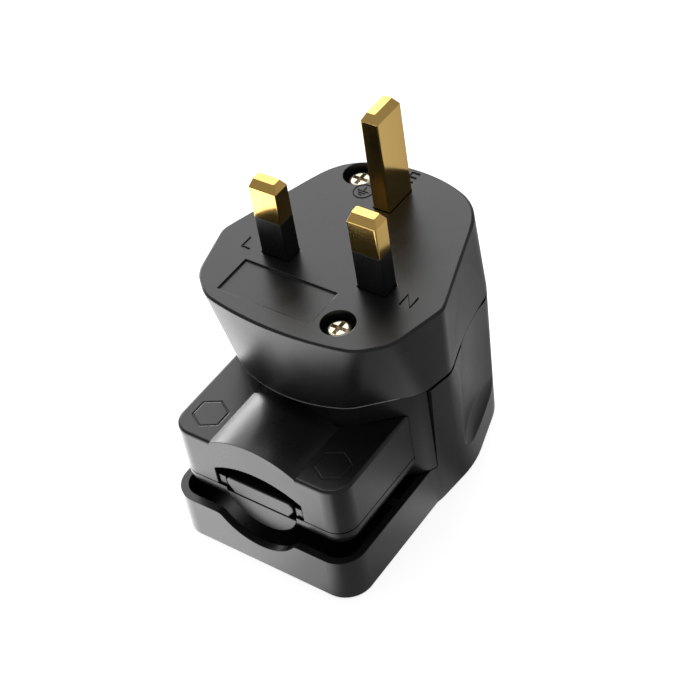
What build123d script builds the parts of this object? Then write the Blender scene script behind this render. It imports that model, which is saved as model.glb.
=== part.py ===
from build123d import *
import os
from math import sqrt

os.makedirs("parts", exist_ok=True)

# Rewirable mains plug with three flat pins and a side cable clamp, in millimetres.
# The origin is on the pin face, midway between the live and neutral pins.
# +Z is the way the pins point, +Y runs towards the earth pin, -Y is the cable side.

# Pins
LINE_PITCH = 22.22
EARTH_OFFSET = 22.23
LINE_WIDTH = 6.35
LINE_THICK = 3.975
LINE_LENGTH = 17.7
EARTH_WIDTH = 3.975
EARTH_DEPTH = 7.92
EARTH_LENGTH = 22.73
PIN_EDGE = 0.35
TIP_HEIGHT = 1.65
TIP_SLOPE = 1.03
TIP_END_SLOPE = 0.7
SLEEVE_LENGTH = 9.0
SLEEVE_WALL = 0.45
SLEEVE_FIT = 0.02
PIN_SLOT_GAP = 0.15
FLANGE_THICK = 2.0
FLANGE_WIDEN = 3.0
FLANGE_CORNER = 1.0
SHANK_SIDE = 3.0
RIVET_HEIGHT = 0.5

# Body outline at three heights, on the +X side: where the lower bow, the corner facet,
# the blunt side corner and the top bow end, how far the side above it is hollowed
# (below nought it is flat), and how round each corner is
JOINT_DEPTH = 18.0
BODY_DEPTH = 51.5
FACE_STATION = {
    "low": -18.65,
    "bow": (17.3, -16.63),
    "facet": (22.4, -12.05),
    "side": (25.7, 0.3),
    "side_round": 3.5,
    "top": (16.6, 27.1),
    "high": 32.1,
    "hollow": -0.15,
}
JOINT_STATION = {
    "low": -18.5,
    "bow": (13.0, -15.45),
    "facet": (22.9, -6.0),
    "side": (24.4, 1.3),
    "side_round": 3.5,
    "top": (18.9, 25.6),
    "high": 32.3,
    "hollow": 0.65,
}
BASE_STATION = {
    "low": -17.6,
    "bow": (12.6, -14.8),
    "facet": (21.9, -5.8),
    "side": (23.1, 8.0),
    "side_round": 22.0,
    "top": (18.2, 24.8),
    "high": 31.4,
    "hollow": -0.15,
}
BOW_ROUND = 8.0
FACET_ROUND = 8.0
TOP_ROUND = 13.0
FACE_EDGE = 0.45
BASE_EDGE = 0.7

# Shells
FACE_WALL = 3.5
FRONT_WALL = 3.0
COVER_WALL = 3.1
FLOOR_WALL = 2.4
JOINT_GAP = 0.3

# Hollow sides of the body, and the finger grips in the sides of the cover
HOLLOW_RADIUS = 77.0
GRIP_RADIUS = 30.0
GRIP_DEPTH = 2.1
GRIP_END_DEPTH = 47.0
GRIP_END_ROUND = 5.0
GRIP_MIDDLE = 13.0
GRIP_LEAN = 2.5

# Housing screws, one beside the neutral pin and one beside the earth pin
SCREW_X = 10.25
FRONT_SCREW_Y = -11.6
REAR_SCREW_Y = 25.8
SCREW_DIAMETER = 3.0
SCREW_GAP = 0.15
HEAD_DIAMETER = 5.2
HEAD_HEIGHT = 1.9
HEAD_ROUND = 1.05
HEAD_SINK = 1.2
HEAD_GAP = 0.4
TIP_GAP = 0.4
COUNTERBORE = 6.8
POST_RADIUS = 3.0
POST_TOP_RADIUS = 4.6
POST_FLOOR = 1.4
INSERT_LENGTH = 7.0
INSERT_WALL = 0.75
SCREW_FLOOR = 0.4
RECESS_WIDTH = 0.85
RECESS_DEPTH = 1.0

# Plain plate recess in the face
PLATE_LEFT = -15.9
PLATE_RIGHT = 5.7
PLATE_LOW = -14.1
PLATE_HIGH = -5.0
PLATE_SINK = 0.4

# Terminal plate and terminals
CARRIER_THICK = 2.5
CARRIER_GAP = 0.3
TERMINAL_DROP = 9.5
TERMINAL_SIDE = 8.4
TERMINAL_EDGE = 0.4
WIRE_HOLE = 4.0
WIRE_DROP = 4.2
TERMINAL_SCREW = 3.4
TERMINAL_HEAD = 5.6
TERMINAL_HEAD_HEIGHT = 1.8
LIVE_TERMINAL_X = -4.6
LIVE_TERMINAL_Y = 8.0
LIVE_TERMINAL_WIDTH = 7.0
PLATE_SCREW_X = 2.4
PLATE_SCREW_Y = {"front": 0.0, "rear": 12.3}
PLATE_SCREW = 2.2
PLATE_SCREW_HOLD = 1.5
PLATE_SCREW_HEAD = 1.4
PLATE_BOSS = 2.6

# Fuse and its clips
FUSE_LENGTH = 25.4
FUSE_DIAMETER = 6.35
FUSE_TUBE = 5.8
FUSE_CAP = 6.3
FUSE_CAP_WALL = 0.4
FUSE_CAP_EDGE = 0.3
FUSE_X = -12.8
FUSE_FRONT = -8.9
CLIP_THICK = 0.7
CLIP_LENGTH = 5.0
CLIP_MOUTH = 4.4
STRAP_THICK = 0.8
STRAP_INSET = 2.0

# Neck that the cable clamp butts against
NECK_STEP = 0.8
NECK_WALL = 1.7
NECK_FRONT = 16.5
NECK_SIDE_END = 3.8
SLOT_WIDTH = 12.4
SLOT_TOP = 25.4

# Cable clamp
CLAMP_FRONT = 31.4
CLAMP_HALF_WIDTH = 20.1
CLAMP_CORNER = 4.5
CLAMP_TOP = 23.4
CLAMP_SPLIT = 35.1
CLAMP_BOTTOM = 40.0
CLAMP_EDGE = 0.7
CLAMP_UNDER_ROUND = 3.8
CLAMP_REAR_GAP = 0.12
CLAMP_REAR_WALL = 1.5
ARCH_HALF_WIDTH = 10.1
ARCH_RISE = 3.0
HOLE_HALF_WIDTH = 10.4
HOLE_CROWN = 27.7
HOLE_SHOULDER = 30.7
BELLY_RADIUS = 8.8
BELLY_BOTTOM = 42.4
BELLY_SET_BACK = 0.4
POST_SLOT_GAP = 0.5
GUIDE_WIDTH = 1.5
GUIDE_TOP = 32.6
SADDLE_SET_BACK = 0.9
SADDLE_TOP = 31.9
SADDLE_BOTTOM = 36.2
SADDLE_HALF_WIDTH = 8.0
SADDLE_LENGTH = 11.5
SADDLE_TOP_EDGE = (0.5, 0.8)
SADDLE_TAPER = 1.4
TONGUE_HALF_WIDTH = 6.0
TONGUE_TOP = 25.7
TONGUE_BOTTOM = 42.0
TONGUE_FLANGE = 1.0
TONGUE_FLANGE_WIDEN = 1.1
CABLE_WAY_HALF_WIDTH = 4.6
CABLE_WAY_CENTRE = 34.5
CLAMP_SCREW_X = 14.5
CLAMP_SCREW_Y = -25.0
NUT_FLATS = 6.2
NUT_HEIGHT = 2.4
NUT_TOP = 25.0
NUT_GAP = 0.06
MARK_WIDTH = 0.3
MARK_DEPTH = 0.15

# Tray of the back cover, round the foot of the clamp
TRAY_FRONT = 34.3
TRAY_HALF_WIDTH = 21.8
TRAY_CORNER = 5.6
TRAY_WALL = 1.6
TRAY_RIM = 40.5
DIP_HALF_WIDTH = 9.0
DIP_BOTTOM = 45.3
DIP_SHOULDER = 1.6
BULKHEAD_GAP = 0.3

# How far a cutter or a joined form runs past its face, and a reach beyond the whole plug
OVERLAP = 1.0
BEYOND = 50.0

# Heights that follow from the sizes above
FLANGE_Z = -FACE_WALL - FLANGE_THICK
CARRIER_Z = FLANGE_Z - CARRIER_THICK
TERMINAL_Z = CARRIER_Z - STRAP_THICK
HEAD_SEAT = -HEAD_SINK - HEAD_HEIGHT
NECK_Z = -TRAY_RIM + JOINT_GAP
FUSE_RADIUS = FUSE_DIAMETER / 2
FUSE_MIDDLE = FUSE_FRONT + FUSE_LENGTH / 2
CLIP_OUTER = FUSE_RADIUS + CLIP_THICK
FUSE_Z = TERMINAL_Z - FUSE_RADIUS - CLIP_THICK / 2
CLAMP_REAR = -NECK_FRONT - CLAMP_REAR_GAP
SCREW_SEATS = {
    "front": (SCREW_X, FRONT_SCREW_Y),
    "rear": (-SCREW_X, REAR_SCREW_Y),
}


def save(part, name):
    export_step(part, "parts/" + name + ".step")


def prism(sketch, low, high):
    """Sketch drawn out straight between two heights."""
    return extrude(Plane.XY.offset(low) * sketch, amount=high - low)


def round_bar(x, y, radius, low, high):
    return Pos(x, y, (low + high) / 2) * Cylinder(radius, high - low)


def block(x0, x1, y0, y1, z0, z1):
    return Pos((x0 + x1) / 2, (y0 + y1) / 2, (z0 + z1) / 2) * Box(x1 - x0, y1 - y0, z1 - z0)


def round_at(face, point, radius):
    """Rounds the outline's corner at a point and at its mirror image."""
    for x in (point[0], -point[0]):
        corner = face.vertices().sort_by_distance(Vector(x, point[1], 0))[0]
        face = fillet(corner, radius)
    return face


def station(depth):
    """Outline values at a depth below the face, between the three stations."""
    if depth <= JOINT_DEPTH:
        first, last = FACE_STATION, JOINT_STATION
        share = depth / JOINT_DEPTH
    else:
        first, last = JOINT_STATION, BASE_STATION
        share = (depth - JOINT_DEPTH) / (BODY_DEPTH - JOINT_DEPTH)
    values = {}
    for key in first:
        start, end = first[key], last[key]
        if isinstance(start, tuple):
            values[key] = tuple(a + (b - a) * share for a, b in zip(start, end))
        else:
            values[key] = start + (end - start) * share
    return values


def section(depth, inset=0.0):
    """Body outline at a depth below the face, moved in by a wall."""
    s = station(depth)
    corners = [s["bow"], s["facet"], s["side"], s["top"]]
    left = [(-x, y) for x, y in corners]
    lines = [ThreePointArc(left[0], (0, s["low"]), corners[0])]
    lines += [Line(a, b) for a, b in zip(corners, corners[1:])]
    lines += [ThreePointArc(corners[3], (0, s["high"]), left[3])]
    lines += [Line(a, b) for a, b in zip(left[::-1], left[-2::-1])]
    face = make_face(Curve() + lines)
    for point, radius in zip(corners, (BOW_ROUND, FACET_ROUND, s["side_round"], TOP_ROUND)):
        face = round_at(face, point, radius)
    if inset:
        face = offset(face, amount=-inset, kind=Kind.INTERSECTION)
    return face


def body_loft(top, bottom, inset=0.0):
    """Solid between two depths of the body outline."""
    upper = Plane.XY.offset(-top) * section(top, inset)
    lower = Plane.XY.offset(-bottom) * section(bottom, inset)
    return loft([upper, lower], ruled=True)


def beside_wall(side, depth, reach):
    """Point at a distance from the middle of a side wall, square to the wall."""
    s = station(depth)
    run = (s["top"][1] - s["side"][1], s["side"][0] - s["top"][0])
    length = sqrt(run[0] ** 2 + run[1] ** 2)
    share = (GRIP_MIDDLE - s["side"][1]) / run[0]
    x = s["side"][0] + (s["top"][0] - s["side"][0]) * share + reach * run[0] / length
    return Pos(side * x, GRIP_MIDDLE + reach * run[1] / length, -depth)


def side_hollow(side):
    """Wide shallow bow of the side wall, deepest at the joint of the shells."""
    rings = []
    for depth in (0, JOINT_DEPTH + JOINT_GAP / 2, BODY_DEPTH):
        place = beside_wall(side, depth, HOLLOW_RADIUS - station(depth)["hollow"])
        rings.append(place * Circle(HOLLOW_RADIUS))
    return loft(rings, ruled=True)


def grip(side):
    """Leaning bar with a rounded foot that hollows a finger grip into one side."""
    bar = round_bar(0, 0, GRIP_RADIUS, 0, BODY_DEPTH)
    bar = fillet(bar.edges().group_by(Axis.Z)[0], GRIP_END_ROUND)
    place = beside_wall(side, GRIP_END_DEPTH, GRIP_RADIUS - GRIP_DEPTH)
    return place * Rot(0, side * GRIP_LEAN, 0) * bar


def cross_recess(top):
    """Cross for the driver in a screw head."""
    long, wide = HEAD_DIAMETER / 3, RECESS_WIDTH / 2
    slot = block(-long, long, -wide, wide, top - RECESS_DEPTH, top)
    return slot + Rot(0, 0, 90) * slot


def pan_screw(length):
    """Pan head screw whose head seats at height nought."""
    shank = round_bar(0, 0, SCREW_DIAMETER / 2, -length, 0)
    head = round_bar(0, 0, HEAD_DIAMETER / 2, 0, HEAD_HEIGHT)
    head = fillet(head.edges().group_by(Axis.Z)[-1], HEAD_ROUND)
    return shank + head - cross_recess(HEAD_HEIGHT)


def slotted_screw(diameter, length, head, head_height):
    """Cheese head screw that points up, with its slot underneath."""
    screw = round_bar(0, 0, diameter / 2, 0, length) + round_bar(0, 0, head / 2, -head_height, 0)
    slot = block(-head, head, -head / 12, head / 12, -head_height, -head_height * 0.5)
    return screw - slot


def pin_prong(width, depth, length, sleeved):
    """Prong above the face wall's underside, with its bevelled tip."""
    full = RectangleRounded(width, depth, PIN_EDGE)
    slopes = (TIP_END_SLOPE, TIP_SLOPE) if width > depth else (TIP_SLOPE, TIP_SLOPE)
    tip = RectangleRounded(width - 2 * slopes[0], depth - 2 * slopes[1], PIN_EDGE)
    shoulder = length - TIP_HEIGHT
    start = SLEEVE_LENGTH if sleeved else -FACE_WALL
    prong = prism(full, start, shoulder)
    prong += loft([Plane.XY.offset(shoulder) * full, Plane.XY.offset(length) * tip], ruled=True)
    if sleeved:
        core = RectangleRounded(width - 2 * SLEEVE_WALL, depth - 2 * SLEEVE_WALL, PIN_EDGE / 2)
        prong += prism(core, -FACE_WALL, SLEEVE_LENGTH)
    return prong


def pin_flange(width, depth):
    plate = RectangleRounded(width + FLANGE_WIDEN, depth + FLANGE_WIDEN, FLANGE_CORNER)
    return prism(plate, FLANGE_Z, -FACE_WALL)


def terminal_block(width, top):
    """Brass block with a cross hole for the wire and a screw hole from below."""
    side = TERMINAL_SIDE / 2
    solid = block(-width / 2, width / 2, -side, side, top - TERMINAL_DROP, top)
    solid = chamfer(solid.edges().group_by(Axis.Z)[0], TERMINAL_EDGE)
    wire = Pos(0, 0, top - WIRE_DROP) * Rot(90, 0, 0) * Cylinder(WIRE_HOLE / 2, 2 * TERMINAL_SIDE)
    low = top - TERMINAL_DROP - OVERLAP
    return solid - wire - round_bar(0, 0, TERMINAL_SCREW / 2 + SLEEVE_FIT, low, top - WIRE_DROP)


def wired_pin(x, y, width, depth, length, sleeved):
    """Pin, flange, shank and terminal block in one piece."""
    pin = pin_prong(width, depth, length, sleeved) + pin_flange(width, depth)
    pin += block(-SHANK_SIDE / 2, SHANK_SIDE / 2, -SHANK_SIDE / 2, SHANK_SIDE / 2, CARRIER_Z, FLANGE_Z)
    pin += terminal_block(TERMINAL_SIDE, CARRIER_Z)
    return Pos(x, y, 0) * pin


def live_pin():
    """Pin whose shank is riveted over the strap of the front fuse clip."""
    pin = pin_prong(LINE_WIDTH, LINE_THICK, LINE_LENGTH, True) + pin_flange(LINE_WIDTH, LINE_THICK)
    pin += round_bar(0, 0, SHANK_SIDE / 2, TERMINAL_Z, FLANGE_Z)
    rivet = round_bar(0, 0, SHANK_SIDE * 0.7, TERMINAL_Z - RIVET_HEIGHT, TERMINAL_Z)
    pin += fillet(rivet.edges().group_by(Axis.Z)[0], RIVET_HEIGHT * 0.7)
    return Pos(-LINE_PITCH / 2, 0, 0) * pin


def sleeve(x):
    outer = RectangleRounded(LINE_WIDTH, LINE_THICK, PIN_EDGE)
    inner = SLEEVE_WALL - SLEEVE_FIT
    core = RectangleRounded(LINE_WIDTH - 2 * inner, LINE_THICK - 2 * inner, PIN_EDGE / 2)
    return Pos(x, 0, 0) * prism(outer - core, -FACE_WALL, SLEEVE_LENGTH)


def pin_slot(x, y, width, depth):
    slot = RectangleRounded(width + 2 * PIN_SLOT_GAP, depth + 2 * PIN_SLOT_GAP, PIN_EDGE + PIN_SLOT_GAP)
    return Pos(x, y, 0) * prism(slot, -FACE_WALL - OVERLAP, OVERLAP)


def neck_outline(grow=0.0):
    """Outline of the neck: the body outline stepped in, with a flat cable side."""
    face = offset(section(JOINT_DEPTH), amount=grow - NECK_STEP, kind=Kind.INTERSECTION)
    flat = NECK_FRONT + grow
    return face & (Pos(0, BEYOND - flat) * Rectangle(2 * BEYOND, 2 * BEYOND))


def neck():
    """Collar under the face moulding, with the slot that holds the clamp's tongue."""
    ring = neck_outline() - neck_outline(-NECK_WALL)
    ring &= Pos(0, -NECK_SIDE_END - JOINT_GAP - BEYOND) * Rectangle(2 * BEYOND, 2 * BEYOND)
    collar = prism(ring, NECK_Z, -JOINT_DEPTH + OVERLAP)
    half = SLOT_WIDTH / 2
    back = -NECK_FRONT + NECK_WALL + OVERLAP
    return collar - block(-half, half, -NECK_FRONT - OVERLAP, back, NECK_Z - OVERLAP, -SLOT_TOP)


def front_body():
    """Face moulding: pin slots, counterbores, screw posts and the neck."""
    outer = body_loft(0, JOINT_DEPTH)
    outer = chamfer(outer.faces().sort_by(Axis.Z)[-1].edges(), FACE_EDGE)
    body = outer - body_loft(FACE_WALL, JOINT_DEPTH, FRONT_WALL)
    for name, (x, y) in SCREW_SEATS.items():
        collar = round_bar(x, y, POST_TOP_RADIUS, HEAD_SEAT - POST_FLOOR, -FACE_WALL)
        post = round_bar(x, y, POST_RADIUS, -JOINT_DEPTH, -FACE_WALL)
        body += (collar + post) & outer
    x, y = SCREW_SEATS["front"]
    body += neck() + round_bar(x, y, POST_RADIUS, NECK_Z, -JOINT_DEPTH)
    for y in PLATE_SCREW_Y.values():
        body += round_bar(PLATE_SCREW_X, y, PLATE_BOSS, FLANGE_Z, -FACE_WALL)
        bore = PLATE_SCREW / 2 + SLEEVE_FIT
        body -= round_bar(PLATE_SCREW_X, y, bore, FLANGE_Z - OVERLAP, -FACE_WALL + PLATE_SCREW_HOLD)
    for x, y in SCREW_SEATS.values():
        body -= round_bar(x, y, COUNTERBORE / 2, HEAD_SEAT, OVERLAP)
        body -= round_bar(x, y, SCREW_DIAMETER / 2 + SCREW_GAP, NECK_Z - OVERLAP, OVERLAP)
    body -= block(PLATE_LEFT, PLATE_RIGHT, PLATE_LOW, PLATE_HIGH, -PLATE_SINK, OVERLAP)
    body -= pin_slot(-LINE_PITCH / 2, 0, LINE_WIDTH, LINE_THICK)
    body -= pin_slot(LINE_PITCH / 2, 0, LINE_WIDTH, LINE_THICK)
    body -= pin_slot(0, EARTH_OFFSET, EARTH_WIDTH, EARTH_DEPTH)
    return body - side_hollow(1) - side_hollow(-1)


def tray_block(inset, low, high):
    """Rounded block of the tray, open towards the body."""
    half = TRAY_HALF_WIDTH - inset
    front = -TRAY_FRONT + inset
    shape = make_face(Polyline((-half, 0), (-half, front), (half, front), (half, 0), (-half, 0)))
    shape = round_at(shape, (half, front), TRAY_CORNER - inset)
    return prism(shape, low, high)


def rim_dip():
    """Bow cut from the tray's front rim, where the cable lies."""
    depth = DIP_BOTTOM - TRAY_RIM
    radius = (DIP_HALF_WIDTH ** 2 + depth ** 2) / (2 * depth)
    disc = Pos(0, radius - DIP_BOTTOM) * Circle(radius)
    above = Pos(0, BEYOND - TRAY_RIM) * Rectangle(2 * (DIP_HALF_WIDTH + 3 * DIP_SHOULDER), 2 * BEYOND)
    shape = disc + above
    for x in (-DIP_HALF_WIDTH, DIP_HALF_WIDTH):
        corner = shape.vertices().sort_by_distance(Vector(x, -TRAY_RIM, 0))[0]
        shape = fillet(corner, DIP_SHOULDER)
    cutter = extrude(Plane.XZ * shape, amount=2 * TRAY_WALL, both=True)
    return Pos(0, -TRAY_FRONT, 0) * cutter


def back_cover():
    """Rear shell with grips, screw bosses and the tray round the clamp's foot."""
    top = JOINT_DEPTH + JOINT_GAP
    floor = -BODY_DEPTH + FLOOR_WALL
    shell = body_loft(top, BODY_DEPTH)
    shell -= block(-BEYOND, BEYOND, -BEYOND, -NECK_SIDE_END, -TRAY_RIM, 0)
    shell += tray_block(0, -BODY_DEPTH, -TRAY_RIM)
    shell = chamfer(shell.faces().sort_by(Axis.Z)[0].edges(), BASE_EDGE)
    outer = shell
    inside = body_loft(top, BODY_DEPTH - FLOOR_WALL, COVER_WALL)
    inside += tray_block(TRAY_WALL, floor, -TRAY_RIM)
    inside += block(-BEYOND, BEYOND, -BEYOND, -NECK_SIDE_END, -TRAY_RIM, 0)
    shell -= inside
    bulkhead_top = NECK_Z - BULKHEAD_GAP
    inner_half = TRAY_HALF_WIDTH - TRAY_WALL / 2
    bulkhead = block(-inner_half, inner_half, -NECK_FRONT, -NECK_FRONT + NECK_WALL, floor, bulkhead_top)
    notch = TONGUE_HALF_WIDTH + POST_SLOT_GAP
    back = -NECK_FRONT + NECK_WALL + OVERLAP
    bulkhead -= block(-notch, notch, -NECK_FRONT - OVERLAP, back, -TONGUE_BOTTOM, 0)
    shell += bulkhead
    x, y = SCREW_SEATS["front"]
    shell += round_bar(x, y, POST_RADIUS, floor, NECK_Z)
    x, y = SCREW_SEATS["rear"]
    shell += round_bar(x, y, POST_RADIUS, floor, -JOINT_DEPTH) & (outer + body_loft(JOINT_DEPTH, top))
    for x, y in SCREW_SEATS.values():
        shell -= round_bar(x, y, SCREW_DIAMETER / 2 + SCREW_GAP, floor + SCREW_FLOOR, 0)
        shell -= round_bar(x, y, SCREW_DIAMETER / 2 + INSERT_WALL, NECK_Z - INSERT_LENGTH, NECK_Z)
    shell -= side_hollow(1) + side_hollow(-1)
    return shell - rim_dip() - grip(1) - grip(-1)


def threaded_insert(x, y):
    ring = Circle(SCREW_DIAMETER / 2 + INSERT_WALL) - Circle(SCREW_DIAMETER / 2 + SLEEVE_FIT)
    return Pos(x, y, 0) * prism(ring, NECK_Z - INSERT_LENGTH, NECK_Z)


def terminal_plate():
    """Moulded plate that traps the pin flanges and carries the terminals."""
    face = section(-CARRIER_Z, FRONT_WALL + CARRIER_GAP)
    for x, y in SCREW_SEATS.values():
        face -= Pos(x, y) * Circle(POST_RADIUS + CARRIER_GAP)
    plate = prism(face, CARRIER_Z, FLANGE_Z)
    for x, y in ((LINE_PITCH / 2, 0), (0, EARTH_OFFSET)):
        side = SHANK_SIDE / 2 + SCREW_GAP
        plate -= block(x - side, x + side, y - side, y + side, CARRIER_Z - OVERLAP, 0)
    for x, y in ((-LINE_PITCH / 2, 0), (LIVE_TERMINAL_X, LIVE_TERMINAL_Y)):
        plate -= round_bar(x, y, SHANK_SIDE / 2 + SCREW_GAP, CARRIER_Z - OVERLAP, 0)
    for y in PLATE_SCREW_Y.values():
        plate -= round_bar(PLATE_SCREW_X, y, PLATE_SCREW / 2 + SCREW_GAP, CARRIER_Z - OVERLAP, 0)
    return plate


def plate_screw(y):
    length = -FACE_WALL + PLATE_SCREW_HOLD - CARRIER_Z - TIP_GAP
    screw = slotted_screw(PLATE_SCREW, length, 2 * PLATE_SCREW, PLATE_SCREW_HEAD)
    return Pos(PLATE_SCREW_X, y, CARRIER_Z) * screw


def live_terminal():
    """Block beside the fuse, held by a spigot through the rear clip's strap."""
    spigot = round_bar(0, 0, SHANK_SIDE / 2, TERMINAL_Z, FLANGE_Z - TIP_GAP)
    solid = terminal_block(LIVE_TERMINAL_WIDTH, TERMINAL_Z) + spigot
    return Pos(LIVE_TERMINAL_X, LIVE_TERMINAL_Y, 0) * solid


def terminal_screw(x, y, top):
    length = TERMINAL_DROP - WIRE_DROP
    seat = top - TERMINAL_DROP
    screw = slotted_screw(TERMINAL_SCREW, length, TERMINAL_HEAD, TERMINAL_HEAD_HEIGHT)
    return Pos(x, y, seat) * screw


def clip_ring(y):
    """Spring ring, open underneath, round one fuse cap."""
    ring = Circle(CLIP_OUTER) - Circle(FUSE_RADIUS)
    ring -= Pos(0, -CLIP_OUTER) * Rectangle(CLIP_MOUTH, 2 * CLIP_OUTER - 2)
    solid = extrude(Plane.XZ * ring, amount=CLIP_LENGTH / 2, both=True)
    return Pos(FUSE_X, y, FUSE_Z) * solid


def clip_place(end):
    """Middle of a fuse cap along the fuse, -1 for the front and 1 for the rear."""
    return FUSE_MIDDLE + end * (FUSE_LENGTH - FUSE_CAP) / 2


def strap(x0, x1, y0, y1):
    return block(x0, x1, y0, y1, TERMINAL_Z, CARRIER_Z)


def strap_hole(x, y):
    return round_bar(x, y, SHANK_SIDE / 2 + SLEEVE_FIT, TERMINAL_Z - OVERLAP, CARRIER_Z + OVERLAP)


def fuse_bore(y):
    return Pos(FUSE_X, y, FUSE_Z) * Rot(90, 0, 0) * Cylinder(FUSE_RADIUS, 3 * CLIP_LENGTH)


def fuse_clip_front():
    middle = clip_place(-1)
    left = FUSE_X - CLIP_OUTER + CLIP_THICK
    clip = clip_ring(middle)
    clip += strap(left, -LINE_PITCH / 2 + SHANK_SIDE, middle - CLIP_LENGTH / 2, SHANK_SIDE)
    return clip - strap_hole(-LINE_PITCH / 2, 0) - fuse_bore(middle)


def fuse_clip_rear():
    middle = clip_place(1)
    left = FUSE_X - CLIP_OUTER + CLIP_THICK
    clip = clip_ring(middle)
    clip += strap(left, FUSE_X + CLIP_OUTER, LIVE_TERMINAL_Y + STRAP_INSET, middle + CLIP_LENGTH / 2)
    right = LIVE_TERMINAL_X + LIVE_TERMINAL_WIDTH / 2
    low = LIVE_TERMINAL_Y - TERMINAL_SIDE / 2
    clip += strap(LIVE_TERMINAL_X - LIVE_TERMINAL_WIDTH / 2, right, low, low + TERMINAL_SIDE)
    clip += strap(FUSE_X, LIVE_TERMINAL_X, LIVE_TERMINAL_Y + STRAP_INSET, low + TERMINAL_SIDE)
    return clip - strap_hole(LIVE_TERMINAL_X, LIVE_TERMINAL_Y) - fuse_bore(middle)


def fuse_rod(radius, start, end):
    middle = (start + end) / 2
    return Pos(FUSE_X, middle, FUSE_Z) * Rot(90, 0, 0) * Cylinder(radius, end - start)


def fuse_tube():
    half = FUSE_LENGTH / 2 - FUSE_CAP_WALL
    return fuse_rod(FUSE_TUBE / 2, FUSE_MIDDLE - half, FUSE_MIDDLE + half)


def fuse_cap(end):
    """Metal cap pressed over one end of the fuse."""
    tip = FUSE_MIDDLE + end * FUSE_LENGTH / 2
    mouth = tip - end * FUSE_CAP
    cap = fuse_rod(FUSE_RADIUS - SLEEVE_FIT, min(tip, mouth), max(tip, mouth))
    cap = fillet(cap.edges().group_by(Axis.Y)[-1 if end > 0 else 0], FUSE_CAP_EDGE)
    hollow = tip - end * FUSE_CAP_WALL
    return cap - fuse_rod(FUSE_TUBE / 2, min(hollow, mouth - end), max(hollow, mouth - end))


def clamp_block(low, high, face_up, radius):
    """Block of one clamp half, rounded along its outer face, rear fitted to the neck."""
    half = CLAMP_HALF_WIDTH
    front = -CLAMP_FRONT
    plan = make_face(Polyline((-half, 0), (-half, front), (half, front), (half, 0), (-half, 0)))
    plan = round_at(plan, (half, front), CLAMP_CORNER)
    solid = prism(plan, low, high)
    rim = solid.edges().group_by(Axis.Z)[-1 if face_up else 0]
    solid = fillet([edge for edge in rim if edge.center().Y < 0], radius)
    return solid - prism(neck_outline(CLAMP_REAR_GAP), low - OVERLAP, high + OVERLAP)


def arch_face(half, crown, shoulder, foot):
    """Front view of an arch over a straight-sided foot."""
    top = ThreePointArc((-half, -shoulder), (0, -crown), (half, -shoulder))
    sides = Polyline((half, -shoulder), (half, -foot), (-half, -foot), (-half, -shoulder))
    return make_face(Curve() + [top, sides])


def along_cable(shape, start, end):
    """Front view drawn out along the cable's way, from start to end in Y."""
    return Pos(0, end, 0) * extrude(Plane.XZ * shape, amount=end - start)


def hexagon(flats):
    return Rot(0, 0, 30) * RegularPolygon(flats / 2, 6, major_radius=False)


def tongue(top, bottom):
    """Rear tongue and flange that hold the clamp in the neck's slot."""
    half = TONGUE_HALF_WIDTH
    inner = -NECK_FRONT + NECK_WALL + CLAMP_REAR_GAP
    solid = block(-half, half, CLAMP_REAR - OVERLAP, inner + TONGUE_FLANGE, -bottom, -top)
    wide = half + TONGUE_FLANGE_WIDEN
    return solid + block(-wide, wide, inner, inner + TONGUE_FLANGE, max(-bottom, NECK_Z), -top)


def cable_way():
    """Bore of the tongue, as wide as the largest cable."""
    shape = Pos(0, -CABLE_WAY_CENTRE) * Circle(CABLE_WAY_HALF_WIDTH)
    return along_cable(shape, CLAMP_REAR - CLAMP_REAR_WALL - OVERLAP, -NECK_FRONT + 3 * NECK_WALL)


def clamp_upper():
    """Upper clamp half with its arched hood and the blind nut sockets."""
    hood = clamp_block(-CLAMP_SPLIT, -CLAMP_TOP, True, CLAMP_EDGE)
    arch = arch_face(ARCH_HALF_WIDTH, CLAMP_TOP - ARCH_RISE, CLAMP_TOP, CLAMP_TOP + OVERLAP)
    hood += along_cable(arch, -CLAMP_FRONT, CLAMP_REAR)
    hood += tongue(TONGUE_TOP, CLAMP_SPLIT)
    hole = arch_face(HOLE_HALF_WIDTH, HOLE_CROWN, HOLE_SHOULDER, CLAMP_SPLIT + OVERLAP)
    hood -= along_cable(hole, -CLAMP_FRONT - OVERLAP, CLAMP_REAR - CLAMP_REAR_WALL)
    hood -= cable_way()
    for x in (-CLAMP_SCREW_X, CLAMP_SCREW_X):
        place = Pos(x, CLAMP_SCREW_Y, 0)
        hood -= place * prism(hexagon(NUT_FLATS + 2 * NUT_GAP), -CLAMP_SPLIT - OVERLAP, -NUT_TOP)
        mark = hexagon(NUT_FLATS + MARK_WIDTH) - hexagon(NUT_FLATS - MARK_WIDTH)
        hood -= place * prism(mark, -CLAMP_TOP - MARK_DEPTH, -CLAMP_TOP + OVERLAP)
    return hood


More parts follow.
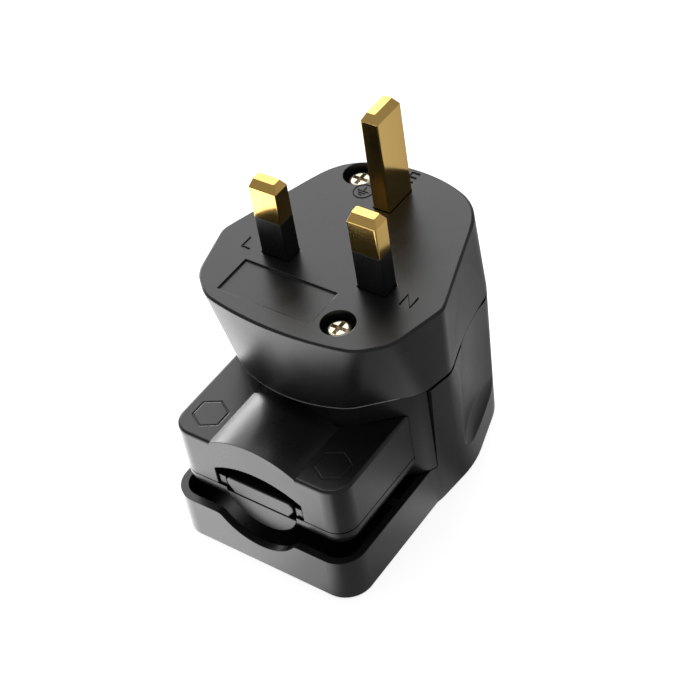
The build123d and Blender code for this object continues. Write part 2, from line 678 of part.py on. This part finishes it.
def clamp_lower():
    """Lower clamp half: two ears, a round belly and the guides of the saddle."""
    ears = clamp_block(-CLAMP_BOTTOM, -CLAMP_SPLIT, False, CLAMP_UNDER_ROUND)
    front = -CLAMP_FRONT + BELLY_SET_BACK
    disc = Pos(0, BELLY_RADIUS - BELLY_BOTTOM) * Circle(BELLY_RADIUS)
    disc &= Pos(0, -BEYOND - CLAMP_SPLIT) * Rectangle(2 * BEYOND, 2 * BEYOND)
    belly = along_cable(disc, front, CLAMP_REAR)
    guide = HOLE_HALF_WIDTH - POST_SLOT_GAP
    belly += block(-guide, guide, front, CLAMP_REAR - CLAMP_REAR_WALL, -CLAMP_SPLIT - OVERLAP, -GUIDE_TOP)
    lower = ears + belly + tongue(CLAMP_SPLIT, TONGUE_BOTTOM)
    inner = guide - GUIDE_WIDTH
    lower -= block(-inner, inner, front - OVERLAP, CLAMP_REAR - CLAMP_REAR_WALL, -SADDLE_BOTTOM, 0)
    lower -= cable_way()
    low = -CLAMP_BOTTOM - OVERLAP
    seat = -CLAMP_BOTTOM + HEAD_HEIGHT
    for x in (-CLAMP_SCREW_X, CLAMP_SCREW_X):
        lower -= round_bar(x, CLAMP_SCREW_Y, SCREW_DIAMETER / 2 + SCREW_GAP, low, 0)
        lower -= round_bar(x, CLAMP_SCREW_Y, HEAD_DIAMETER / 2 + HEAD_GAP, low, seat)
    return lower


def cable_saddle():
    """Bar that presses the cable up into the arch."""
    front = -CLAMP_FRONT + SADDLE_SET_BACK
    half = SADDLE_HALF_WIDTH
    points = [
        (half - SADDLE_TOP_EDGE[0], -SADDLE_TOP),
        (half, -SADDLE_TOP - SADDLE_TOP_EDGE[1]),
        (half, -(SADDLE_TOP + SADDLE_BOTTOM) / 2),
        (half - SADDLE_TAPER, -SADDLE_BOTTOM),
    ]
    outline = points + [(-x, z) for x, z in points[::-1]]
    return along_cable(make_face(Polyline(*outline, close=True)), front, front + SADDLE_LENGTH)


def clamp_screw(x):
    length = CLAMP_BOTTOM - HEAD_HEIGHT - NUT_TOP - TIP_GAP
    return Pos(x, CLAMP_SCREW_Y, -CLAMP_BOTTOM + HEAD_HEIGHT) * Rot(180, 0, 0) * pan_screw(length)


def clamp_nut(x):
    nut = hexagon(NUT_FLATS) - Circle(SCREW_DIAMETER / 2 + SLEEVE_FIT)
    return Pos(x, CLAMP_SCREW_Y, 0) * prism(nut, -NUT_TOP - NUT_HEIGHT, -NUT_TOP)


# Housing
save(front_body(), "front_body")
save(back_cover(), "back_cover")
for name, (x, y) in SCREW_SEATS.items():
    reach = HEAD_SEAT - NECK_Z + INSERT_LENGTH - TIP_GAP
    save(Pos(x, y, HEAD_SEAT) * pan_screw(reach), "housing_screw_" + name)
    save(threaded_insert(x, y), "threaded_insert_" + name)

# Pins and terminals
neutral_x = LINE_PITCH / 2
save(live_pin(), "live_pin")
save(wired_pin(neutral_x, 0, LINE_WIDTH, LINE_THICK, LINE_LENGTH, True), "neutral_pin")
save(wired_pin(0, EARTH_OFFSET, EARTH_WIDTH, EARTH_DEPTH, EARTH_LENGTH, False), "earth_pin")
save(sleeve(-neutral_x), "live_pin_sleeve")
save(sleeve(neutral_x), "neutral_pin_sleeve")
save(terminal_plate(), "terminal_plate")
for name, y in PLATE_SCREW_Y.items():
    save(plate_screw(y), "plate_screw_" + name)
save(live_terminal(), "live_terminal")
save(terminal_screw(LIVE_TERMINAL_X, LIVE_TERMINAL_Y, TERMINAL_Z), "live_terminal_screw")
save(terminal_screw(neutral_x, 0, CARRIER_Z), "neutral_terminal_screw")
save(terminal_screw(0, EARTH_OFFSET, CARRIER_Z), "earth_terminal_screw")

# Fuse
save(fuse_clip_front(), "fuse_clip_front")
save(fuse_clip_rear(), "fuse_clip_rear")
save(fuse_tube(), "fuse_tube")
save(fuse_cap(-1), "fuse_cap_front")
save(fuse_cap(1), "fuse_cap_rear")

# Cable clamp
save(clamp_upper(), "clamp_upper")
save(clamp_lower(), "clamp_lower")
save(cable_saddle(), "cable_saddle")
for name, x in (("left", -CLAMP_SCREW_X), ("right", CLAMP_SCREW_X)):
    save(clamp_screw(x), "clamp_screw_" + name)
    save(clamp_nut(x), "clamp_nut_" + name)
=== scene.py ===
import math

import bpy
from mathutils import Matrix, Vector
from mathutils.geometry import convex_hull_2d


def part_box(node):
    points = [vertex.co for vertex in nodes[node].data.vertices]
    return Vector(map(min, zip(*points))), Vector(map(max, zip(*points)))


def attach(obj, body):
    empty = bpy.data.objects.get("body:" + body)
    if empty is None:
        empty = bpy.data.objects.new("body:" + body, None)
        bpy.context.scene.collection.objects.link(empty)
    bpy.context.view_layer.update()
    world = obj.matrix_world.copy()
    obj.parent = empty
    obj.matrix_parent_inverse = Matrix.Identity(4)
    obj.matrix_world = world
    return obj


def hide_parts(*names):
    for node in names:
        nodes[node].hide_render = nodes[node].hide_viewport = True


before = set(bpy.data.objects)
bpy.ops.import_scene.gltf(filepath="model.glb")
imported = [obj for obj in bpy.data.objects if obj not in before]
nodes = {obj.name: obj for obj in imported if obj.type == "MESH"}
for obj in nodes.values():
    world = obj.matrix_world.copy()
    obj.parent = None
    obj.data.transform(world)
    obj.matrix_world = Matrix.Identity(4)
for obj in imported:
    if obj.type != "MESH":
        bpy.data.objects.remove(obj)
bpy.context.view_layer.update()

# Camera: place, way it looks, roll and lens, for a square picture
CAMERA_AT = Vector((0.167668, -0.187830, 0.220560))
CAMERA_WAY = Vector((-0.4767, 0.5395, -0.6940)).normalized()
CAMERA_ROLL = math.radians(10.251)
CAMERA_LENS = 91.47
SENSOR = 36.0

# Lengths are written in mm and brought to metres with MM. Points that are less than TOUCH apart
# in height count as level.
MM = 0.001
TOUCH = 0.01 * MM

# Floor under the back of the plug, and the sheet just under it that only the gloss sees, whose
# glow paints the reflections
FLOOR_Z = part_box("back_cover")[0][2]
FLOOR_SIZE = 3.0
FLOOR_GAP = 0.02 * MM
GLOSS_GAP = 0.04 * MM

# Edges and heights taken from the CAD nodes: the lower edge of the face moulding, the front and
# the lowest point of the clamp, the line between its halves, and the foot of the saddle. The
# belly's radius is the one of the lower clamp half.
FACE_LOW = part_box("back_cover")[1][2]
CLAMP_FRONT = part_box("clamp_upper")[0][1]
CLAMP_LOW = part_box("clamp_lower")[0][2]
CLAMP_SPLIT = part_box("clamp_upper")[0][2]
SADDLE_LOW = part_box("cable_saddle")[0][2]
BELLY_RADIUS = 8.8 * MM

# Level lines drawn by the materials: height, half of the width, and the y where the line starts
# or ends. The seam lines are painted shadow in the joints, and the rim line is a painted
# highlight.
# ALL_ROUND lies before the whole plug, CABLE_SIDE where the moulding turns to the cable.
# A line fades over LINE_FADE at its end, and is full over the LINE_CORE share of its width.
ALL_ROUND = -40.0 * MM
CABLE_SIDE = -9.0 * MM
LINE_FADE = 1.0 * MM
LINE_CORE = 0.7
COVER_SEAM_SHADOW = (FACE_LOW - 0.47 * MM, 0.24 * MM, ALL_ROUND)
CLAMP_SEAM_SHADOW = (CLAMP_SPLIT, 0.17 * MM, ALL_ROUND)
FACE_SEAM_SHADOW = (FACE_LOW, 0.17 * MM, CABLE_SIDE)
FACE_RIM_HIGHLIGHT = (FACE_LOW + 0.3 * MM, 0.15 * MM, CABLE_SIDE)

# Steps in which the round outlines are drawn
ROUND_STEPS = 40

# Marks on the pin face, in mm: middle, width and height of each letter, and radius of its line.
# The earth symbol's stem, bars and their distance are shares of its radius.
LETTERS = {
    "L": (-17.95, -0.85, 1.8, 2.8),
    "N": (18.75, -0.9, 2.2, 2.9),
    "E": (-0.05, 29.4, 1.7, 2.7),
}
LETTER_LINE = 0.19
MARK_HEIGHT = 0.03
EARTH_AT = (-6.6, 21.6)
EARTH_RADIUS = 2.0
EARTH_LINE = 0.11
EARTH_STEM = 0.65
EARTH_BARS = (0.62, 0.4, 0.18)
EARTH_BAR_STEP = 0.28

# Saddle bar: how far its front lies behind the clamp's, gap over the belly, and its corners
BAR_SETBACK = 0.05 * MM
BAR_GAP = 0.12 * MM
BAR_CORNER = 0.9 * MM
BAR_FOOT = 1.5 * MM
BAR_EDGE = 0.3 * MM

# Plate of the belly: how far it stands out, its depth, gap under the saddle, and its edge
BELLY_PROUD = 0.04 * MM
BELLY_DEPTH = 0.5 * MM
BELLY_GAP = 0.04 * MM
BELLY_EDGE = 0.15 * MM

# Wall between neck and clamp: its thickness and the distance of its middle from the neck
SKIN_WALL = 0.2 * MM
SKIN_OFF = 0.11 * MM

# Glow of the floor, and the painted reflection glow of the sheet that only the gloss sees, by the
# angle in degrees round the plug from +X: once within NEAR_REACH of the plug's middle, and once
# from FAR_REACH on
FLOOR_GLOW = 0.8
GLOW_TOP = 4.0
NEAR_GLOW = [
    (-180, 1.5), (-150, 2.4), (-100, 2.2), (-74, 1.4), (-60, 0.38), (-50, 0.4), (-38, 0.85),
    (-15, 1.8), (0, 0.65), (12, 0.16), (32, 0.38), (50, 0.36), (66, 0.25), (95, 0.3), (135, 0.8),
    (180, 1.5),
]
FAR_GLOW = [
    (-180, 1.9), (-150, 3.5), (-100, 3.3), (-74, 1.8), (-60, 0.3), (-45, 0.24), (-30, 0.22),
    (-15, 0.26), (0, 0.24), (12, 0.2), (32, 0.42), (50, 0.6), (58, 0.6), (70, 0.3), (135, 0.8),
    (180, 1.9),
]
NEAR_REACH, FAR_REACH = 0.040, 0.074

# Grain of a material is its fine noise per metre, and the cloud of its colour is coarser by
# CLOUD_SIZE. The rounding of its edges is worked out from BEVEL_SAMPLES.
CLOUD_SIZE = 12
BEVEL_SAMPLES = 6

# Paper of the floor
PAPER_DARK = (0.76, 0.76, 0.76, 1)
PAPER_LIGHT = (0.8, 0.8, 0.8, 1)
PAPER_GRAIN = 30.0

# Lights: place, size and power of the main soft box, and of a low one that grazes the plug
KEY_AT, KEY_SIZE, KEY_POWER = (-0.75, 0.60, 0.85), (1.3, 1.3), 10.4
RIM_AT, RIM_SIZE, RIM_POWER = (-1.10, 0.78, 0.16), (0.9, 0.5), 10.0
WORLD_STRENGTH = 0.35


def linear(*rgb):
    """Linear colour of sRGB values from 0 to 255."""
    colour = []
    for value in (number / 255 for number in rgb):
        colour.append(value / 12.92 if value <= 0.04045 else ((value + 0.055) / 1.055) ** 2.4)
    return (*colour, 1.0)


def new_object(name, data):
    piece = bpy.data.objects.new(name, data)
    bpy.context.scene.collection.objects.link(piece)
    return piece


def new_mesh(name, points, faces):
    mesh = bpy.data.meshes.new(name)
    mesh.from_pydata(points, [], faces)
    return new_object(name, mesh)


def new_material(name):
    """Material, its node tree and its shader."""
    made = bpy.data.materials.new(name)
    made.use_nodes = True
    return made, made.node_tree, made.node_tree.nodes["Principled BSDF"]


def set_camera():
    """Camera fitted to the photo, turned about its own line of sight by the roll."""
    right = CAMERA_WAY.cross(Vector((0, 0, 1))).normalized()
    down = CAMERA_WAY.cross(right)
    turn_cos, turn_sin = math.cos(CAMERA_ROLL), math.sin(CAMERA_ROLL)
    across = right * turn_cos + down * turn_sin
    below = down * turn_cos - right * turn_sin
    data = bpy.data.cameras.new("camera")
    data.sensor_width = SENSOR
    data.lens = CAMERA_LENS
    data.clip_start = 0.01
    camera = new_object("camera", data)
    turn = Matrix((across, -below, -CAMERA_WAY)).transposed().to_4x4()
    camera.matrix_world = Matrix.Translation(CAMERA_AT) @ turn
    bpy.context.scene.camera = camera


def link(tree, start, end):
    tree.links.new(start, end)


def noise(tree, scale, detail, stretch=(1, 1, 1)):
    """Noise in object space; returns its value socket."""
    place = tree.nodes.new("ShaderNodeTexCoord")
    squeeze = tree.nodes.new("ShaderNodeMapping")
    squeeze.inputs["Scale"].default_value = stretch
    texture = tree.nodes.new("ShaderNodeTexNoise")
    texture.inputs["Scale"].default_value = scale
    texture.inputs["Detail"].default_value = detail
    link(tree, place.outputs["Object"], squeeze.inputs["Vector"])
    link(tree, squeeze.outputs["Vector"], texture.inputs["Vector"])
    return texture.outputs["Fac"]


def ramp(tree, source, low, high, start=0.3, end=0.7):
    """Numbers from low to high as the source goes from start to end."""
    node = tree.nodes.new("ShaderNodeMapRange")
    node.inputs["From Min"].default_value = start
    node.inputs["From Max"].default_value = end
    node.inputs["To Min"].default_value = low
    node.inputs["To Max"].default_value = high
    link(tree, source, node.inputs["Value"])
    return node.outputs["Result"]


def mix_colour(tree, factor, first, second):
    """Colour from first to second, which is a colour or a socket, as the factor rises."""
    node = tree.nodes.new("ShaderNodeMix")
    node.data_type = "RGBA"
    link(tree, factor, node.inputs["Factor"])
    node.inputs["A"].default_value = first
    if isinstance(second, tuple):
        node.inputs["B"].default_value = second
    else:
        link(tree, second, node.inputs["B"])
    return node.outputs["Result"]


def math_node(tree, operation, first, second=None):
    """Result of one operation; second is a number, a socket or nothing."""
    node = tree.nodes.new("ShaderNodeMath")
    node.operation = operation
    link(tree, first, node.inputs[0])
    if isinstance(second, float):
        node.inputs[1].default_value = second
    elif second:
        link(tree, second, node.inputs[1])
    return node.outputs["Value"]


def object_place(tree):
    """Socket of the place in object space, and the sockets of its parts."""
    place = tree.nodes.new("ShaderNodeTexCoord")
    parts = tree.nodes.new("ShaderNodeSeparateXYZ")
    link(tree, place.outputs["Object"], parts.inputs["Vector"])
    return place.outputs["Object"], parts.outputs


def finish_bump(tree, shader, height, distance, edge):
    """Fine relief over edges that are slightly rounded."""
    bump = tree.nodes.new("ShaderNodeBump")
    bump.inputs["Strength"].default_value = 1.0
    bump.inputs["Distance"].default_value = distance
    link(tree, height, bump.inputs["Height"])
    if edge:
        bevel = tree.nodes.new("ShaderNodeBevel")
        bevel.samples = BEVEL_SAMPLES
        bevel.inputs["Radius"].default_value = edge
        link(tree, bevel.outputs["Normal"], bump.inputs["Normal"])
    link(tree, bump.outputs["Normal"], shader.inputs["Normal"])


def off_line(tree, height, half, turn_y, ahead=False):
    """Nought in a level line beyond turn_y, or ahead of it towards the cable, and 1 off it."""
    _, parts = object_place(tree)
    away = math_node(tree, "ABSOLUTE", math_node(tree, "SUBTRACT", parts["Z"], height))
    above_or_below = ramp(tree, away, 0, 1, LINE_CORE * half, half)
    ends = (0, 1) if ahead else (1, 0)
    past_turn = ramp(tree, parts["Y"], *ends, turn_y - LINE_FADE, turn_y)
    return math_node(tree, "MAXIMUM", above_or_below, past_turn)


def material(
    name, dark, light, rough, metal=0.0, grain=1200.0, relief=0.02, edge=0.0, stretch=(1, 1, 1),
    gloss=0.5, seam=None, rim=None,
):
    """
    Material that changes slightly in colour and roughness, with a fine relief.

    The relief and the edge are in mm, and the gloss is the level of its mirror light. A seam is a
    dark line without gloss, a painted shadow where a joint lies in its own shadow, and a rim is a
    pale line, a painted highlight where the rim of the moulding catches the light.
    """
    made, tree, shader = new_material(name)
    shader.inputs["Metallic"].default_value = metal
    shader.inputs["Specular IOR Level"].default_value = gloss
    cloud = noise(tree, grain / CLOUD_SIZE, 3.0, stretch)
    fine = noise(tree, grain, 2.0, stretch)
    shade = mix_colour(tree, ramp(tree, cloud, 0, 1), dark, light)
    # Painted shadow: a black line without gloss where a joint lies in its own shadow
    if seam:
        clear = off_line(tree, *seam)
        shade = mix_colour(tree, clear, (0, 0, 0, 1), shade)
        link(tree, ramp(tree, clear, 0, gloss, 0, 1), shader.inputs["Specular IOR Level"])
    # Painted highlight: a pale line where the rim of the moulding catches the light
    if rim:
        shade = mix_colour(tree, off_line(tree, *rim, ahead=True), RIM_HIGHLIGHT_COLOUR, shade)
    link(tree, shade, shader.inputs["Base Color"])
    link(tree, ramp(tree, cloud, *rough), shader.inputs["Roughness"])
    finish_bump(tree, shader, fine, relief * MM, edge * MM)
    return made


def dress(made, *names):
    """Puts a material on CAD nodes."""
    for name in names:
        piece = nodes[name]
        piece.data.materials.clear()
        piece.data.materials.append(made)


def letter(text, x, y, width, height):
    """Raised letter on the pin face, upright towards the earth pin."""
    left, right = x - width / 2, x + width / 2
    low, high = y - height / 2, y + height / 2
    runs = {
        "L": [[(left, high), (left, low), (right, low)]],
        "N": [[(left, low), (left, high), (right, low), (right, high)]],
        "E": [[(right, high), (left, high), (left, low), (right, low)], [(left, y), (right, y)]],
    }
    return line_curve("mark_" + text, runs[text], LETTER_LINE)


def line_curve(name, runs, radius):
    """Curve of straight runs with a round section."""
    curve = bpy.data.curves.new(name, "CURVE")
    curve.dimensions = "3D"
    curve.bevel_depth = radius * MM
    curve.bevel_resolution = 2
    curve.use_fill_caps = True
    for run in runs:
        spline = curve.splines.new("POLY")
        spline.points.add(len(run) - 1)
        for point, (x, y) in zip(spline.points, run):
            point.co = (x * MM, y * MM, MARK_HEIGHT * MM, 1)
    return new_object(name, curve)


def earth_mark(x, y, radius):
    """Ringed earth symbol beside the earth pin."""
    ring = []
    for step in range(ROUND_STEPS + 1):
        angle = step * math.tau / ROUND_STEPS
        ring.append((x + radius * math.cos(angle), y + radius * math.sin(angle)))
    runs = [ring, [(x, y + EARTH_STEM * radius), (x, y)]]
    for row, half in enumerate(EARTH_BARS):
        level = y - row * EARTH_BAR_STEP * radius
        runs.append([(x - half * radius, level), (x + half * radius, level)])
    return line_curve("earth_mark", runs, EARTH_LINE)


def plate(name, outline, front_y, rear_y, edge):
    """Upright outline of x and z values drawn out from front to rear, with rounded edges."""
    count = len(outline)
    points = [(x, front_y, z) for x, z in outline] + [(x, rear_y, z) for x, z in outline]
    faces = [tuple(reversed(range(count))), tuple(range(count, 2 * count))]
    for step in range(count):
        after = (step + 1) % count
        faces.append((step, after, after + count, step + count))
    piece = new_mesh(name, points, faces)
    rounding = piece.modifiers.new("rounding", "BEVEL")
    rounding.width = edge
    rounding.segments = 3
    return piece


def saddle_bar():
    """Bar in the cable hole: soft ends, its front level with the belly under it."""
    (left, _, _), (right, rear_y, high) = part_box("cable_saddle")
    low = SADDLE_LOW + BAR_GAP
    half = (right - left) / 2
    side = [
        (half - BAR_CORNER, high), (half, high - BAR_CORNER),
        (half, (high + low) / 2), (half - BAR_FOOT, low),
    ]
    outline = side + [(-x, z) for x, z in side[::-1]]
    return plate("saddle_bar", outline, CLAMP_FRONT + BAR_SETBACK, rear_y, BAR_EDGE)


def belly_front():
    """Flat front of the round belly, level with the front of the ears."""
    centre = CLAMP_LOW + BELLY_RADIUS
    start = math.asin((centre - SADDLE_LOW - BELLY_GAP) / BELLY_RADIUS)
    outline = []
    for step in range(ROUND_STEPS + 1):
        angle = start + (math.pi - 2 * start) * step / ROUND_STEPS
        outline.append((BELLY_RADIUS * math.cos(angle), centre - BELLY_RADIUS * math.sin(angle)))
    front_y, rear_y = CLAMP_FRONT - BELLY_PROUD, CLAMP_FRONT + BELLY_DEPTH
    return plate("belly_front", outline, front_y, rear_y, BELLY_EDGE)


def neck_skin():
    """Thin wall that closes the gap between neck and clamp, drawn along the foot of the neck."""
    body = nodes["front_body"]
    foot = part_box("front_body")[0][2]
    corners = [body.matrix_world @ vertex.co for vertex in body.data.vertices]
    ring = [Vector((at.x, at.y)) for at in corners if at.z < foot + TOUCH]
    front = [ring[index] for index in convex_hull_2d(ring) if ring[index].y < CABLE_SIDE]
    front.sort(key=lambda at: at.x)
    points = []
    for at in front:
        out = at * (1 + SKIN_OFF / at.length)
        points += [(out.x, out.y, FACE_LOW), (out.x, out.y, CLAMP_LOW)]
    starts = range(0, len(points) - 2, 2)
    piece = new_mesh("neck_skin", points, [(at, at + 1, at + 3, at + 2) for at in starts])
    wall = piece.modifiers.new("wall", "SOLIDIFY")
    wall.thickness = SKIN_WALL
    wall.offset = 0
    return piece


def soft_box(name, at, size, power):
    """Area light that looks at the origin, on the pin face."""
    data = bpy.data.lights.new(name, "AREA")
    data.shape = "RECTANGLE"
    data.size, data.size_y = size
    data.energy = power
    lamp = new_object(name, data)
    lamp.location = at
    lamp.rotation_mode = "QUATERNION"
    lamp.rotation_quaternion = (-Vector(at)).to_track_quat("-Z", "Y")


def card(name, height, made):
    """Level square sheet of the studio, which isn't part of the plug."""
    half = FLOOR_SIZE / 2
    corners = [(-half, -half), (half, -half), (half, half), (-half, half)]
    piece = new_mesh(name, [(x, y, height) for x, y in corners], [(0, 1, 2, 3)])
    piece.data.materials.append(made)
    return piece


def floor():
    """White light table that the plug lies on."""
    made, tree, shader = new_material("floor_paper")
    shader.inputs["Roughness"].default_value = 0.9
    shader.inputs["Specular IOR Level"].default_value = 0.1
    cloud = ramp(tree, noise(tree, PAPER_GRAIN, 3.0), 0, 1)
    link(tree, mix_colour(tree, cloud, PAPER_DARK, PAPER_LIGHT), shader.inputs["Base Color"])
    shader.inputs["Emission Color"].default_value = (1, 1, 1, 1)
    shader.inputs["Emission Strength"].default_value = FLOOR_GLOW
    piece = card("floor", FLOOR_Z - FLOOR_GAP, made)
    piece.visible_glossy = False


def angle_glow(tree, share, glow_by_angle):
    """Glow by the share of a full turn, which starts at -180 degrees."""
    shades = tree.nodes.new("ShaderNodeValToRGB")
    shades.color_ramp.interpolation = "EASE"
    stops = shades.color_ramp.elements
    while len(stops) < len(glow_by_angle):
        stops.new(0.5)
    for stop, (angle, glow) in zip(stops, glow_by_angle):
        stop.position = (angle + 180) / 360
        stop.color = (glow / GLOW_TOP, glow / GLOW_TOP, glow / GLOW_TOP, 1)
    link(tree, share, shades.inputs["Fac"])
    return ramp(tree, shades.outputs["Color"], 0, GLOW_TOP, 0, 1)


def painted_reflection_sheet():
    """Sheet that only reflections see. Its glow paints reflections of the table in the plug's
    gloss, bright in front on the left and dim on the right.
    """
    made, tree, shader = new_material("painted_reflection_sheet")
    shader.inputs["Base Color"].default_value = (0, 0, 0, 1)
    shader.inputs["Roughness"].default_value = 1.0
    shader.inputs["Specular IOR Level"].default_value = 0.0
    shader.inputs["Emission Color"].default_value = (1, 1, 1, 1)
    place, parts = object_place(tree)
    turn = math_node(tree, "ARCTAN2", parts["Y"], parts["X"])
    share = ramp(tree, turn, 0, 1, -math.pi, math.pi)
    reach = tree.nodes.new("ShaderNodeVectorMath")
    reach.operation = "LENGTH"
    link(tree, place, reach.inputs[0])
    blend = tree.nodes.new("ShaderNodeMix")
    zone = ramp(tree, reach.outputs["Value"], 0, 1, NEAR_REACH, FAR_REACH)
    link(tree, zone, blend.inputs["Factor"])
    link(tree, angle_glow(tree, share, NEAR_GLOW), blend.inputs["A"])
    link(tree, angle_glow(tree, share, FAR_GLOW), blend.inputs["B"])
    link(tree, blend.outputs["Result"], shader.inputs["Emission Strength"])
    piece = card("painted_reflection_sheet", FLOOR_Z - GLOSS_GAP, made)
    piece.visible_camera = False
    piece.visible_diffuse = False
    piece.visible_shadow = False
    piece.visible_transmission = False


def world_light(strength):
    """Even white light from all round."""
    world = bpy.data.worlds.new("studio")
    world.use_nodes = True
    shader = world.node_tree.nodes["Background"]
    shader.inputs["Color"].default_value = (1, 1, 1, 1)
    shader.inputs["Strength"].default_value = strength
    bpy.context.scene.world = world


set_camera()
floor()
painted_reflection_sheet()

# Both soft boxes stand behind the plug on the left
world_light(WORLD_STRENGTH)
soft_box("key", KEY_AT, KEY_SIZE, KEY_POWER)
soft_box("rim", RIM_AT, RIM_SIZE, RIM_POWER)
view = bpy.context.scene.view_settings
view.view_transform = "Standard"
view.look = "None"
view.exposure = 0.0

# Materials. The housing's plastic has one look and finish, with or without lines on it.
PLASTIC = (linear(17, 17, 18), linear(21, 21, 22), (0.26, 0.33))
FINISH = {"grain": 1600.0, "relief": 0.006, "edge": 0.25}
# Colour of the painted highlight on the face rim's line
RIM_HIGHLIGHT_COLOUR = linear(122, 120, 120)
housing = material("housing_plastic", *PLASTIC, **FINISH)
cover_plastic = material("cover_plastic", *PLASTIC, **FINISH, seam=COVER_SEAM_SHADOW)
clamp_plastic = material("clamp_plastic", *PLASTIC, **FINISH, seam=CLAMP_SEAM_SHADOW)
face_plastic = material("face_plastic", *PLASTIC, **FINISH, seam=FACE_SEAM_SHADOW, rim=FACE_RIM_HIGHLIGHT)
# The marks' plastic is darker and duller than the face: painted shade of their raised relief
mark_painted_shade_plastic = material(
    "mark_painted_shade_plastic", linear(8, 8, 8), linear(12, 12, 12), (0.5, 0.6), relief=0.002, gloss=0.2,
)
sleeve_black = material(
    "sleeve_plastic", linear(12, 12, 13), linear(16, 16, 17), (0.26, 0.32),
    grain=1500.0, relief=0.004, edge=0.15,
)
pin_brass = material(
    "pin_brass", linear(222, 180, 98), linear(238, 200, 120), (0.1, 0.14),
    metal=1.0, grain=900.0, relief=0.003, edge=0.12, stretch=(1, 1, 0.15),
)
plain_brass = material(
    "terminal_brass", linear(196, 158, 92), linear(214, 176, 108), (0.25, 0.35), metal=1.0,
)
zinc = material(
    "screw_steel", linear(196, 188, 168), linear(216, 208, 188), (0.22, 0.32),
    metal=1.0, relief=0.004, edge=0.08,
)
bronze = material(
    "spring_bronze", linear(190, 130, 84), linear(208, 150, 100), (0.25, 0.35), metal=1.0,
)
porcelain = material("fuse_ceramic", linear(226, 222, 212), linear(238, 235, 226), (0.35, 0.5))
plated = material(
    "cap_metal", linear(196, 196, 198), linear(214, 214, 216), (0.15, 0.25), metal=1.0,
)

dress(housing, "cable_saddle", "terminal_plate")
dress(face_plastic, "front_body")
dress(cover_plastic, "back_cover")
dress(clamp_plastic, "clamp_upper", "clamp_lower")
dress(sleeve_black, "live_pin_sleeve", "neutral_pin_sleeve")
dress(pin_brass, "live_pin", "neutral_pin", "earth_pin")
dress(plain_brass, "live_terminal", "threaded_insert_front", "threaded_insert_rear")
dress(zinc, *[name for name in nodes if "_screw" in name or "clamp_nut" in name])
dress(bronze, "fuse_clip_front", "fuse_clip_rear")
dress(porcelain, "fuse_tube")
dress(plated, "fuse_cap_front", "fuse_cap_rear")

# Moulded marks on the pin face
marks = [letter(text, *place) for text, place in LETTERS.items()]
marks.append(earth_mark(*EARTH_AT, EARTH_RADIUS))
for mark in marks:
    mark.data.materials.append(mark_painted_shade_plastic)
    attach(mark, "root")

# Saddle and belly of the clamp, and the wall behind it
bar = saddle_bar()
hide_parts("cable_saddle")
for piece in (bar, belly_front(), neck_skin()):
    piece.data.materials.append(housing)
    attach(piece, "root")
